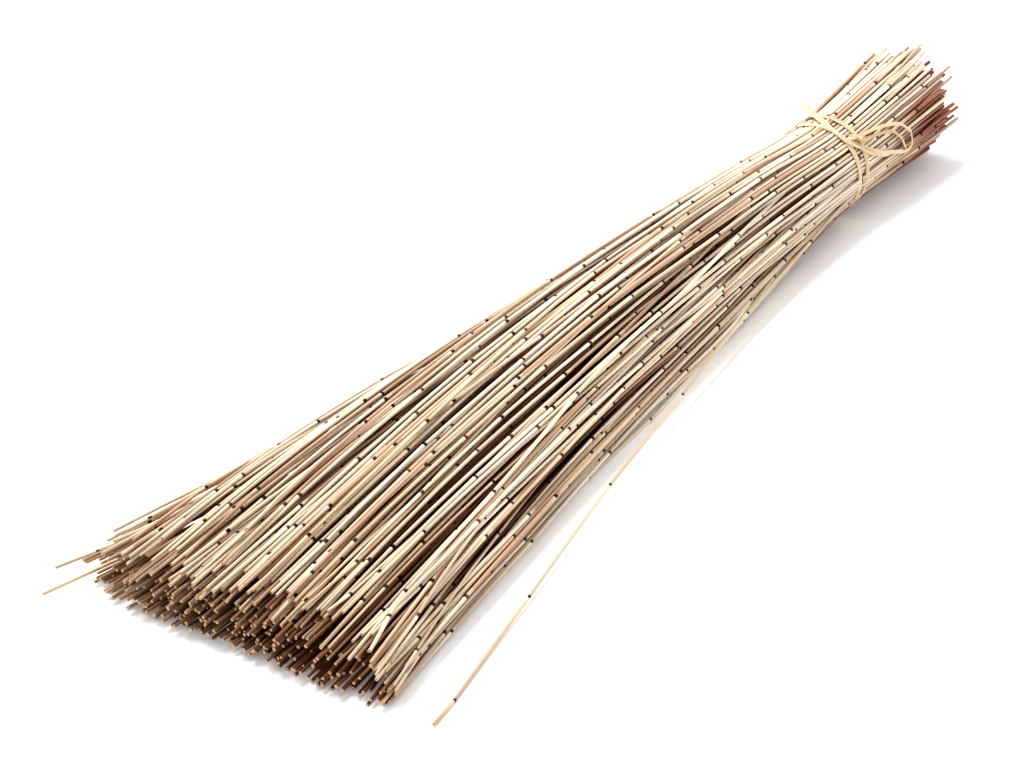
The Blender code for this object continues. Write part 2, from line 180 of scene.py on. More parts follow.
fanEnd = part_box("reed_sheaf")[0].x
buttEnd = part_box("reed_sheaf")[1].x
pastFan, pastButt = bunch["stationsPast"]
stations = np.linspace(fanEnd - pastFan, buttEnd + pastButt, bunch["stations"])
tieStation = int(np.argmin(np.abs(stations - bunch["tieX"])))
fanShare = np.clip((bunch["tieX"] - stations) / (bunch["tieX"] - fanEnd), 0, bunch["shareLimit"])
buttShare = np.clip((stations - bunch["tieX"]) / (buttEnd - bunch["tieX"]), 0, bunch["shareLimit"])
fanStation = int(np.argmin(np.abs(stations - fanEnd)))

guideNodes = list(reedNames)
guideNodes.insert(bunch["straySlot"], strayName)
guideLines = []
guidePlaces = []
guideRadii = []
for node in guideNodes:
    middles, radii = reedLine(node)
    guideLines.append((middles, radii))
    guidePlaces.append(smoothThrough(middles[:, 0], middles[:, 1:], stations))
    guideRadii.append(np.interp(stations, middles[:, 0], radii))
guidePlaces = np.array(guidePlaces)
guideRadii = np.array(guideRadii)
print(f"outer reeds: {len(guideNodes)} middle lines from the frame")


# The outline round the bunch at each station, as distance from its middle against angle.

outline = {
    "underReach": 0.09,    # the sheaf's lowest point is looked for this far to either side
    "underPoints": 11,
    "middleHeight": 0.45,  # of the top
    "inset": 0.4 * mm,
}


def sheafUnderside():
    # height of the sheaf's underside at each station
    verts = np.array([vert.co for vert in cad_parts["reed_sheaf"].data.vertices])
    lowest = []
    for x in stations:
        near = np.abs(verts[:, 0] - x) < outline["underReach"]
        lowest.append(verts[near, 2].min())
    return np.array(lowest)


def makeRings():
    # a closed run of points round the bunch at each station, through the outer reeds' middles
    under = sheafUnderside()
    rings = []
    across = np.linspace(0, 1, outline["underPoints"] + 2)[1:-1]
    for k in range(len(stations)):
        ring = np.delete(guidePlaces[:, k], bunch["straySlot"], axis=0)
        thin = guideRadii[:, k].mean()
        bottomY = ring[-1, 0] + (ring[0, 0] - ring[-1, 0]) * across
        footZ = (ring[0, 1] + ring[-1, 1]) / 2
        bottomZ = under[k] + thin + (footZ - under[k] - thin) * (2 * across - 1) ** 2
        rings.append(np.vstack([ring, np.column_stack([bottomY, np.maximum(bottomZ, thin)])]))
    return rings


rings = makeRings()


def polar(aside):
    # distance and angle of each point
    return np.hypot(aside[:, 0], aside[:, 1]), np.arctan2(aside[:, 1], aside[:, 0])


def makeOutline(ring):
    # the same ring as distance from its middle against angle, with the dips between its points bridged
    middleY = (ring[:, 0].min() + ring[:, 0].max()) / 2
    middle = np.array([middleY, ring[:, 1].max() * outline["middleHeight"]])
    reaches, angles = polar(ring - middle)
    order = np.argsort(angles)
    reaches = reaches[order]
    highest = np.max([np.roll(reaches, step) for step in (-1, 0, 1)], axis=0)
    bridged = (np.roll(highest, 1) + highest + np.roll(highest, -1)) / 3
    return middle, angles[order], np.maximum(bridged, reaches) - outline["inset"]


outlines = [makeOutline(ring) for ring in rings]

# Reeds are pushed apart at every station, and stay stiff as they are.

settling = {
    "rounds": 90,
    "stiffness": 0.7,      # share of the way to an even line that a reed goes in one round
    "lastRounds": 12,      # rounds at the end with reeds less stiff
    "lastStiffness": 0.25,
    "pairRounds": 6,       # rounds between two searches for close pairs
    "pairSlack": 1.2 * mm,
    "push": 0.9,           # share of an overlap that one round takes away
    "closest": 1e-6,       # two reeds' middles count as at least this far apart
    "pressed": 0.4 * mm,   # overlap that counts as a close spot
    "tieRounds": 260,
    "tieStart": 0.93,      # share of the outline that the reeds fill at the tie, at first
    "tieEnd": 0.985,       # and at most
    "tiePressed": 0.3 * mm,
    "gap": 0.0002,         # kept between two reeds
    "outerHold": 0.35,     # how easily the outer reeds are pushed aside, from 0 to 1
    "outerShift": 1.8 * mm,                 # and how far at most
}


def reachAt(k, angles):
    # how far the outline is from its middle at these angles
    knownAngles, reaches = outlines[k][1:]
    return np.interp(angles, knownAngles, reaches, period=math.tau)


def holdInside(spots, k, share=1.0, room=0.0):
    # bring the reeds that are past a share of the outline, and some room beyond it, back to there
    middle = outlines[k][0]
    aside = spots - middle
    distance, angles = polar(aside)
    limit = reachAt(k, angles) * share + room
    shrink = np.minimum(limit / np.maximum(distance, nothing), 1)
    return middle + aside * shrink[:, None]


def overlapPairs(places, radii, k, slack):
    # pairs of reeds that are closer at this station than their radii and the slack
    spot = places[:, k]
    aside = spot[:, None, :] - spot[None, :, :]
    distance = np.hypot(aside[..., 0], aside[..., 1])
    need = radii[:, k][:, None] + radii[:, k][None, :] + slack
    first, second = np.nonzero(np.triu(distance < need, 1))
    return first, second


def pushApart(places, radii, k, pairs, loose):
    # move the two reeds of each pair that overlap, each by how loose it is
    first, second = pairs
    aside = places[second, k] - places[first, k]
    distance = np.maximum(np.hypot(aside[:, 0], aside[:, 1]), settling["closest"])
    need = radii[first, k] + radii[second, k] + settling["gap"] - distance
    push = np.clip(need, 0, None) / distance
    share = loose[first] + loose[second]
    push = push / np.maximum(share, 1)
    count = len(places)
    for axis in range(2):
        moved = push * aside[:, axis]
        back = np.bincount(first, moved * loose[first], count)
        ahead = np.bincount(second, moved * loose[second], count)
        places[:, k, axis] += (ahead - back) * settling["push"]


def smoothAlong(places, home, strength):
    # stiff stems: what pushes them aside at one place bends them over a long stretch
    shift = places - home
    before = 2 * shift[:, :1] - shift[:, 1:2]
    after = 2 * shift[:, -1:] - shift[:, -2:-1]
    padded = np.concatenate([before, shift, after], axis=1)
    even = (padded[:, :-2] + padded[:, 2:]) / 2
    shift = shift + (even - shift) * strength
    return home + shift


def settle(home, radii, loose, room):
    # in turns, push the reeds apart, bring them back inside and over the floor, and smooth them
    everyStation = range(len(stations))
    places = home.copy()
    pairs = {}
    for turn in range(settling["rounds"]):
        if turn % settling["pairRounds"] == 0:
            pairs = {k: overlapPairs(places, radii, k, settling["pairSlack"]) for k in everyStation}
        for k in everyStation:
            pushApart(places, radii, k, pairs[k], loose)
            places[:, k] = holdInside(places[:, k], k, room=room[:, k])
            places[:, k, 1] = np.maximum(places[:, k, 1], radii[:, k])
        isLate = turn >= settling["rounds"] - settling["lastRounds"]
        places = smoothAlong(places, home, settling["lastStiffness" if isLate else "stiffness"])
        outer = slice(0, len(guidePlaces))
        shift = np.clip(places[outer] - home[outer], -settling["outerShift"], settling["outerShift"])
        places[outer] = home[outer] + shift
    places[:, :, 1] = np.maximum(places[:, :, 1], radii)
    return places


def packWaist(count, radii):
    # spread the inner reeds evenly over the section at the tie
    middle = outlines[tieStation][0]
    angles = draw.uniform(-math.pi, math.pi, count)
    shares = np.sqrt(draw.uniform(0, 1, count)) * settling["tieStart"]
    reach = reachAt(tieStation, angles) * shares
    spots = middle + np.column_stack([np.cos(angles), np.sin(angles)]) * reach[:, None]
    guides = guidePlaces[:, tieStation]
    allSpots = np.vstack([guides, spots])[:, None, :]
    allRadii = np.concatenate([guideRadii[:, tieStation], radii])[:, None]
    loose = np.concatenate([np.zeros(len(guides)), np.ones(count)])
    for turn in range(settling["tieRounds"]):
        pairs = overlapPairs(allSpots, allRadii, 0, settling["gap"])
        pushApart(allSpots, allRadii, 0, pairs, loose)
        moved = holdInside(allSpots[:, 0], tieStation, share=settling["tieEnd"])
        allSpots[:, 0] = np.where(loose[:, None] > 0, moved, allSpots[:, 0])
    left = overlapPairs(allSpots, allRadii, 0, -settling["tiePressed"])
    print(f"tie section: {count} inner reeds, {len(left[0])} pairs still pressed together")
    return allSpots[len(guides):, 0]


# Inner reeds keep their place in the bunch all along, and stray and cross towards the fanned ends.

spread = {
    "wander": 0.028,       # how far most inner reeds stray sideways at the fanned ends
    "wildShare": 0.34,     # share of them that stray much further
    "wildWander": 0.062,
    "lift": 0.005,         # how far they stray up or down
    "buttWander": 0.006,
    "outerWander": 0.006,  # how far the outer ones stray along their row
    "swing": 2.6 * mm,     # slow bends to either side
    "wildSwing": 2,        # times that in the ones that stray much further
    "swingTurns": (0.5, 1.3),               # bends in each metre
    "swingUp": 0.3,        # share of them that goes up and down
    "swingGrowth": 3,      # they grow this many times as fast as the fan
    "sag": 0.10,           # inner reeds sink under the outer ones by this share of their height
    "sagFull": 0.25,       # in full from this share of the way in
    "sink": 0.62,          # the lower half of them lies this much closer to the floor
    "rise": 0.40,          # and the upper half this much closer to the outer ones
    "riseFull": 0.5,       # in full from this share of the way up
    "floorLayer": 6.0 * mm,                 # reeds lower than this at the fanned ends
    "evenness": 0.7,       # are spread this evenly over its width
    "headroom": (-1.5 * mm, 5.0 * mm),      # how far they may lie over the outer ones
    "headroomFull": 0.3,   # from this share of the way to the fanned ends on
    "buttHeadroom": (-1.0 * mm, 2.5 * mm),
    "buttHeadroomFull": 0.6,
    "inset": 0.6 * mm,     # how far they stay inside the outline elsewhere
}


def grow(share, full):
    # from 0 at the tie to 1 where the share reaches full
    t = np.clip(share / full, 0, 1)
    return t * t * (3 - 2 * t)


def mapToStation(angles, k):
    # where the ring at station k is for reeds that leave the tie at these angles
    ringAngles = polar(rings[tieStation] - outlines[tieStation][0])[1]
    order = np.argsort(ringAngles)
    known = ringAngles[order]
    sides = [np.interp(angles, known, rings[k][order, axis], period=math.tau) for axis in range(2)]
    return np.column_stack(sides)


def fold(values, low, high):
    # values that leave the range come back into it from the side they left
    span = high - low
    turned = np.mod(values - low, 2 * span)
    return low + np.where(turned > span, 2 * span - turned, turned)


def innerPlaces(radii, spots):
    # across and up of every inner reed at every station, from its spot at the tie
    count = bunch["innerCount"]
    distance, angles = polar(spots - outlines[tieStation][0])
    shares = distance / reachAt(tieStation, angles)
    wild = draw.random(count) < spread["wildShare"]
    sideways = draw.normal(0, 1, count) * np.where(wild, spread["wildWander"], spread["wander"])
    upwards = draw.normal(0, spread["lift"], count)
    buttAside = draw.normal(0, spread["buttWander"], (count, 2))
    waves = draw.uniform(*spread["swingTurns"], count)
    phases = draw.uniform(0, math.tau, count)
    swing = draw.normal(0, spread["swing"], count) * np.where(wild, spread["wildSwing"], 1)
    height = 2 * spots[:, 1] / rings[tieStation][:, 1].max() - 1
    lowness = np.clip(-height, 0, 1)
    risen = 1 - (1 - shares) * (1 - spread["rise"] * grow(np.clip(height, 0, 1), spread["riseFull"]))
    places = np.zeros((count, len(stations), 2))
    for k, x in enumerate(stations):
        # the same share of the way out from the middle, along the ring of outer reeds
        stationMiddle = outlines[k][0]
        away = fanShare[k]
        outward = shares + (risen - shares) * min(away, 1)
        places[:, k] = stationMiddle + (mapToStation(angles, k) - stationMiddle) * outward[:, None]
        sway = swing * np.sin(phases + waves * math.tau * x) * min(away * spread["swingGrowth"], 1)
        y = places[:, k, 0] + sideways * away + sway + buttAside[:, 0] * buttShare[k]
        places[:, k, 0] = fold(y, rings[k][:, 0].min(), rings[k][:, 0].max())
        places[:, k, 1] *= 1 - spread["sag"] * away * grow(1 - shares, spread["sagFull"])
        places[:, k, 1] *= 1 - spread["sink"] * away * lowness
        places[:, k, 1] += upwards * away + sway * spread["swingUp"] + buttAside[:, 1] * buttShare[k]
        places[:, k, 1] = np.maximum(places[:, k, 1], radii[:, k])
    spreadFloorLayer(places)
    return places


def spreadFloorLayer(places):
    # close the widest gaps between the reeds that lie on the floor at the fanned ends
    low = np.flatnonzero(places[:, 0, 1] < spread["floorLayer"])
    low = low[np.argsort(places[low, 0, 0])]
    even = np.linspace(rings[0][:, 0].min(), rings[0][:, 0].max(), len(low))
    shift = (even - places[low, 0, 0]) * spread["evenness"]
    places[low, :, 0] += shift[:, None] * fanShare
    print(f"floor layer: {len(low)} reeds")


def outerPlaces():
    # the outer reeds of the frame, each straying a little along the row
    count = len(guidePlaces)
    aside = draw.normal(0, spread["outerWander"], count)
    aside[bunch["straySlot"]] = 0
    places = guidePlaces.copy()
    for k in range(len(stations)):
        along = np.gradient(guidePlaces[:, k], axis=0)
        along = along / np.linalg.norm(along, axis=1)[:, None]
        places[:, k] += along * (aside * fanShare[k])[:, None]
    return places


def roomBeyond(count):
    # how far past the outline each reed may be: outer reeds make it, others may lie over them
    inner = count - len(guidePlaces)
    fanGrowth = grow(fanShare, spread["headroomFull"])
    buttGrowth = grow(buttShare, spread["buttHeadroomFull"])
    fanRoom = fanGrowth * draw.uniform(*spread["headroom"], inner)[:, None]
    buttRoom = buttGrowth * draw.uniform(*spread["buttHeadroom"], inner)[:, None]
    outer = np.full((len(guidePlaces), len(stations)), np.inf)
    return np.concatenate([outer, fanRoom + buttRoom - spread["inset"]])


# Painted light and shade: reeds deep in the bunch are painted darker, the cut ends darker still and lighter
# towards +Y, and reeds in the hollow at the butt ends get a painted reddish shade, where their bases are
# also redder.

shading = {
    "shadeStart": 1.5 * mm,                 # depth where the shade starts
    "shadeDepth": 9.9 * mm,                 # and how much further in it is full
    "sideShade": 1.5,      # depth from the sides counts this much
    "fanShade": 0.34,      # the shade is full sooner by this share at the fanned ends
    "fanShadePower": 3,    # and hardly sooner before them
    "faceLength": 0.19,    # the painted shade at the cut ends reaches this far in
    "faceTop": 0.60,       # its share on the uppermost reeds
    "lightSide": (-0.06, 0.12),             # between these y the painted shade near the cut ends gets lighter
    "lightShare": 0.55,    # by up to this share
    "redPlace": (-0.008, 0.052),           # middle of the hollow, across and up
    "redReach": 0.026,    # how far round it most reeds get the painted reddish shade
    "redShare": 0.75,     # share of the reeds there that are
    "redStrength": 1.5,
    "redSpread": 0.15,    # how much that differs between reeds
    "redLow": 0.030,      # reeds under the painted shade get the reddish shade too, from this height
    "redRise": 0.015,     # and fully so this much higher
    "redBack": 0.045,     # all of it starts this far past the tie
    "redFade": 0.06,      # and is full this much further
}


def coverOver(places):
    # how deep each reed lies under the top of the bunch or in from its sides, from 0 to 1: the share of
    # painted shade
    cover = np.zeros(places.shape[:2])
    for k in range(len(stations)):
        ring = rings[k][:len(guideNodes) - 1]
        order = np.argsort(ring[:, 0])
        top = np.interp(places[:, k, 0], ring[order, 0], ring[order, 1])
        fromSide = np.minimum(places[:, k, 0] - ring[:, 0].min(), ring[:, 0].max() - places[:, k, 0])
        cover[:, k] = np.minimum(top - places[:, k, 1], fromSide * shading["sideShade"])
    depth = shading["shadeDepth"] * (1 - shading["fanShade"] * fanShare ** shading["fanShadePower"])
    return np.clip((cover - shading["shadeStart"]) / depth, 0, 1)


tieRadii = draw.uniform(*bunch["innerRadius"], bunch["innerCount"])
innerRadii = tieRadii[:, None] * (1 - (1 - bunch["fanTaper"]) * fanShare)[None, :]
innerHome = innerPlaces(innerRadii, packWaist(bunch["innerCount"], tieRadii))
home = np.concatenate([outerPlaces(), innerHome])
allRadii = np.concatenate([guideRadii, innerRadii])
looseness = np.ones(len(home))
looseness[:len(guidePlaces)] = settling["outerHold"]
looseness[bunch["straySlot"]] = 0
settled = settle(home, allRadii, looseness, roomBeyond(len(home)))
shadeCover = coverOver(settled)
closePairs = [overlapPairs(settled, allRadii, k, -settling["pressed"])[0] for k in range(len(stations))]
closeSpots = sum(len(pairs) for pairs in closePairs)
print(f"settled: {len(settled)} reeds, {closeSpots} close spots left at {len(stations)} stations")


# Stems: growth joints every 10 to 16 cm, each a pale cup and, on its butt side, a narrow dark scar.

stem = {
    "jointSpacing": (0.105, 0.155),
    "firstJoint": 0.02,     # the first is at least this far from the fanned end
    "lastJoint": 0.012,     # and the last from the butt end
    "kink": 0.6 * mm,       # bend at each growth joint
    "kinkFree": 0.12,       # smaller within this distance of the tie, and none in it
    "bendStep": 0.034,      # distance between rings away from the joints
    "startShare": 0.93,     # radius after a joint, as a share of the full one
    "startAlong": 0.08,     # where a length between two joints starts its own colour
    "endAlong": 0.9,        # and where the last one stops, from 0 to 1
    "sides": 8,
    "holeShare": 0.26,      # width of the hole in a cut end, as a share of the reed's
    "holeDepth": 1.4 * mm,
    "scarLength": (0.78, 1.30),             # share of the usual scar
    "scarDark": (0.88, 1.0),
    "strayJoints": [-0.485, -0.354, -0.195, -0.048, 0.096, 0.236, 0.378, 0.498],
    "strayTint": 0.86,
    "strayTone": -1.5,
}

# rings of one joint: distance from its middle towards the butt, radius share, scar and cup masks
jointRings = [
    (-7.0 * mm, 1.00, 0.0, 0.15),
    (-2.4 * mm, 1.06, 0.0, 0.75),
    (-0.4 * mm, 1.10, 0.0, 1.00),
    (0.0 * mm, 0.84, 1.0, 0.0),
    (2.7 * mm, 0.82, 1.0, 0.0),
    (3.1 * mm, 0.95, 0.0, 0.0),
]


def drawJoints(start, end):
    # places of a reed's joints along the bunch
    joints = [start + draw.uniform(stem["firstJoint"], stem["jointSpacing"][0])]
    while joints[-1] < end - stem["lastJoint"]:
        joints.append(joints[-1] + draw.uniform(*stem["jointSpacing"]))
    return joints[:-1]


def ringPlan(start, end, joints):
    # places along a reed where rings are needed, with their radius share and masks
    plan = []
    previous = start
    segment = 0
    firstOffset, lastOffset = jointRings[0][0], jointRings[-1][0]
    for joint in joints:
        plan += plainRings(previous, joint + firstOffset, segment)
        scarLength = draw.uniform(*stem["scarLength"])
        darkness = draw.uniform(*stem["scarDark"])
        for offset, share, scar, cup in jointRings:
            along = 0.0 if offset == lastOffset else 1.0
            place = joint + offset * (scarLength if offset > 0 else 1.0)
            plan.append((place, share, scar * darkness, cup, segment, along))
        previous = joint + lastOffset
        segment += 1
    plan += plainRings(previous, end, segment)
    plan.append((end, 1.0, 0.0, 0.0, segment, stem["endAlong"]))
    return plan


def plainRings(start, end, segment):
    # the rings between two joints
    steps = max(int((end - start) / stem["bendStep"]), 1)
    rings = []
    for step in range(steps):
        t = step / steps
        if step == 0 and segment > 0:
            t = stem["startAlong"]
        share = stem["startShare"] + (1 - stem["startShare"]) * t
        rings.append((start + (end - start) * t, share, 0.0, 0.0, segment, t))
    return rings


# values that every ring of a reed has for the tree and the material
reedColumns = [
    "girth", "scar", "cup", "along", "tint", "tone", "piece", "reach", "cover", "redBaseAndShade", "face",
]


def kinkLine(joints, xs):
    # a line that bends a little at every joint, and not at all in the tie
    knots = np.concatenate([[xs[0]], joints, [xs[-1]]])
    aside = draw.normal(0, stem["kink"], (len(knots), 2))
    free = np.clip(np.abs(xs - bunch["tieX"]) / stem["kinkFree"], 0, 1)
    return np.column_stack([np.interp(xs, knots, aside[:, axis]) * free for axis in range(2)])


def reedRows(number, start, end, joints):
    # every ring of one reed: its place, and a value for each of the columns
    plan = ringPlan(start, end, joints)
    xs = np.array([ring[0] for ring in plan])
    yz = smoothThrough(stations, settled[number], xs) + kinkLine(joints, xs)
    girth = np.interp(xs, stations, allRadii[number]) * np.array([ring[1] for ring in plan])
    yz[:, 1] = np.maximum(yz[:, 1], girth)
    # painted shade: darker the deeper a reed lies
    cover = np.interp(xs, stations, shadeCover[number])
    # painted light: near the cut ends the painted shade gets lighter towards +Y
    nearFace = np.clip(1 - (xs - fanEnd) / shading["faceLength"], 0, 1)
    lightness = shading["lightShare"] * np.interp(yz[:, 0], shading["lightSide"], (0, 1))
    cover = cover * (1 - lightness * nearFace)
    # painted shade at the cut ends
    face = (shading["faceTop"] + (1 - shading["faceTop"]) * cover) * nearFace
    # painted reddish shade in the hollow past the tie and under the painted shade, where the reeds' bases
    # are also redder
    fromHollow = np.hypot(*(yz - shading["redPlace"]).T) / shading["redReach"]
    inHollow = np.exp(-fromHollow ** 2) * shading["redStrength"] * (draw.random() < shading["redShare"])
    highUp = np.clip((yz[:, 1] - shading["redLow"]) / shading["redRise"], 0, 1)
    redBaseAndShade = np.clip(cover * highUp + inHollow + draw.normal(0, shading["redSpread"]), 0, 1)
    redBaseAndShade = redBaseAndShade * np.clip((xs - bunch["tieX"] - shading["redBack"]) / shading["redFade"], 0, 1)
    tint, tone = draw.uniform(), draw.normal(0, 1)
    if number == bunch["straySlot"]:
        tint, tone = stem["strayTint"], stem["strayTone"]
    segmentTint = draw.normal(0, 1, len(joints) + 1)
    rows = []
    for k, (x, share, scar, cup, segment, along) in enumerate(plan):
        piece = segmentTint[segment]
        reach = number + (x - start)
        rows.append((girth[k], scar, cup, along, tint, tone, piece, reach, cover[k], redBaseAndShade[k], face[k]))
    return np.column_stack([xs, yz]), np.array(rows)


def lineMesh(name, runs):
    # one mesh of loose edges, a chain for each reed, with a named attribute for each column
    points = np.concatenate([places for places, rows in runs])
    values = np.concatenate([rows for places, rows in runs])
    edges = []
    first = 0
    for places, rows in runs:
        edges += [(first + k, first + k + 1) for k in range(len(places) - 1)]
        first += len(places)
    mesh = bpy.data.meshes.new(name)
    mesh.from_pydata(points.tolist(), edges, [])
    for column, label in enumerate(reedColumns):
        layer = mesh.attributes.new(label, "FLOAT", "POINT")
        layer.data.foreach_set("value", np.ascontiguousarray(values[:, column], dtype=np.float32))
    return mesh


# Geometry Nodes: trees for the stems and the raffia.

def newTree(name, inputs):
    tree = bpy.data.node_groups.new(name, "GeometryNodeTree")
    tree.interface.new_socket("Geometry", in_out="INPUT", socket_type="NodeSocketGeometry")
    for label, kind in inputs:
        tree.interface.new_socket(label, in_out="INPUT", socket_type=kind)
    tree.interface.new_socket("Geometry", in_out="OUTPUT", socket_type="NodeSocketGeometry")
    return tree, tree.nodes.new("NodeGroupInput"), tree.nodes.new("NodeGroupOutput")


def addNode(tree, kind, links=None, **settings):
    # a node with its settings, and its inputs fed from other sockets or set to values
    node = tree.nodes.new(kind)
    for label, value in settings.items():
        setattr(node, label, value)
    for key, source in (links or {}).items():
        if isinstance(source, bpy.types.NodeSocket):
            tree.links.new(source, node.inputs[key])
        else:
            node.inputs[key].default_value = source
    return node


def namedFloat(tree, label, kind="FLOAT"):
    node = addNode(tree, "GeometryNodeInputNamedAttribute", {"Name": label}, data_type=kind)
    return node.outputs["Attribute"]


def roundProfile(tree, sides):
    # a circle that keeps each point's place on it, for the grain of the material
    circle = addNode(tree, "GeometryNodeCurvePrimitiveCircle", {"Resolution": sides, "Radius": 1.0})
    place = addNode(tree, "GeometryNodeInputPosition")
    marked = addNode(tree, "GeometryNodeStoreNamedAttribute", {
        "Geometry": circle.outputs["Curve"], "Name": "around", "Value": place.outputs[0],
    }, data_type="FLOAT_VECTOR", domain="POINT")
    return marked.outputs[0]


def finishTree(tree, last, given, result):
    real = addNode(tree, "GeometryNodeRealizeInstances", {"Geometry": last.outputs[0]})
    skinned = addNode(tree, "GeometryNodeSetMaterial", {
        "Geometry": real.outputs[0], "Material": given.outputs["Skin"],
    })
    tree.links.new(skinned.outputs[0], result.inputs[0])


def extruded(tree, mesh, selection, distance):
    return addNode(tree, "GeometryNodeExtrudeMesh", {
        "Mesh": mesh, "Selection": selection, "Offset Scale": distance, "Individual": True,
    }, mode="FACES")


def markCut(tree, geometry, step, mark):
    # store the mark on the faces that an extrusion has made
    onStep = addNode(tree, "FunctionNodeBooleanMath", {
        0: step.outputs["Top"], 1: step.outputs["Side"],
    }, operation="OR")
    return addNode(tree, "GeometryNodeStoreNamedAttribute", {
        "Geometry": geometry, "Selection": onStep.outputs[0], "Name": "cut", "Value": mark,
    }, data_type="FLOAT", domain="FACE").outputs[0]


def stemTree():
    # tubes along the lines, with a hole in each end; cut is 0 on the skin, 1 on the cut and 2 in the hole
    tree, given, result = newTree("reedStems", [
        ("Sides", "NodeSocketInt"), ("Hole Share", "NodeSocketFloat"),
        ("Hole Depth", "NodeSocketFloat"), ("Skin", "NodeSocketMaterial"),
    ])
    lines = addNode(tree, "GeometryNodeMeshToCurve", {"Mesh": given.outputs["Geometry"]})
    profile = roundProfile(tree, given.outputs["Sides"])
    tube = addNode(tree, "GeometryNodeCurveToMesh", {
        "Curve": lines.outputs[0], "Profile Curve": profile,
        "Scale": namedFloat(tree, "girth"), "Fill Caps": True,
    })
    # only the caps have more than four corners
    corners = addNode(tree, "GeometryNodeInputMeshFaceNeighbors")
    isCap = addNode(tree, "FunctionNodeCompare", {
        "A": corners.outputs["Vertex Count"], "B": 4,
    }, data_type="INT", operation="GREATER_THAN")
    rim = extruded(tree, tube.outputs[0], isCap.outputs[0], 0.0)
    narrowed = addNode(tree, "GeometryNodeScaleElements", {
        "Geometry": rim.outputs["Mesh"], "Selection": rim.outputs["Top"],
        "Scale": given.outputs["Hole Share"],
    })
    cut = markCut(tree, narrowed.outputs[0], rim, 1.0)
    deep = addNode(tree, "ShaderNodeMath", {0: given.outputs["Hole Depth"], 1: -1.0}, operation="MULTIPLY")
    hole = extruded(tree, cut, rim.outputs["Top"], deep.outputs[0])
    pith = markCut(tree, hole.outputs["Mesh"], hole, 2.0)
    onSkin = addNode(tree, "FunctionNodeCompare", {
        "A": namedFloat(tree, "cut"), "B": 0.5,
    }, data_type="FLOAT", operation="LESS_THAN")
    shaded = addNode(tree, "GeometryNodeSetShadeSmooth", {
        "Geometry": pith, "Shade Smooth": onSkin.outputs[0],
    })
    finishTree(tree, shaded, given, result)
    return tree


def runTree(name, mesh, tree, values):
    # a plain mesh object made by the tree from the given mesh
    source = bpy.data.objects.new(name + "Source", mesh)
    bpy.context.scene.collection.objects.link(source)
    modifier = source.modifiers.new("shape", "NODES")
    modifier.node_group = tree
    for item in tree.interface.items_tree:
        if item.in_out == "INPUT" and item.name in values:
            modifier[item.identifier] = values[item.name]
    graph = bpy.context.evaluated_depsgraph_get()
    made = bpy.data.meshes.new_from_object(source.evaluated_get(graph), depsgraph=graph)
    made.name = name
    bpy.data.objects.remove(source)
    piece = bpy.data.objects.new(name, made)
    bpy.context.scene.collection.objects.link(piece)
    print(f"{name}: {sum(len(face.vertices) - 2 for face in made.polygons)} triangles")
    return piece


# Materials: dried reed and raffia.

def linear(*colour):
    # screen values from 0 to 255 as scene values
    shares = [value / 255 for value in colour]
    return tuple(s / 12.92 if s <= 0.04045 else ((s + 0.055) / 1.055) ** 2.4 for s in shares) + (1.0,)


def ramp(tree, factor, stops):
    node = addNode(tree, "ShaderNodeValToRGB", {"Fac": factor})
    elements = node.color_ramp.elements
    while len(elements) < len(stops):
        elements.new(0.5)
    for element, (place, colour) in zip(elements, stops):
        element.position = place
        element.color = colour
    return node.outputs["Color"]


def attribute(tree, label):
    return addNode(tree, "ShaderNodeAttribute", attribute_name=label).outputs["Fac"]


def mixColour(tree, factor, a, b, blend="MIX"):
    node = addNode(tree, "ShaderNodeMix", data_type="RGBA", blend_type=blend)
    for key, source in ((0, factor), (6, a), (7, b)):
        if isinstance(source, bpy.types.NodeSocket):
            tree.links.new(source, node.inputs[key])
        else:
            node.inputs[key].default_value = source
    return node.outputs[2]


def reMap(tree, source, low, high, toLow, toHigh):
    node = addNode(tree, "ShaderNodeMapRange", {
        "Value": source, "From Min": low, "From Max": high, "To Min": toLow, "To Max": toHigh,
    })
    return node.outputs[0]


def maths(tree, operation, a, b=0.0, c=0.0):
    return addNode(tree, "ShaderNodeMath", {0: a, 1: b, 2: c}, operation=operation).outputs[0]


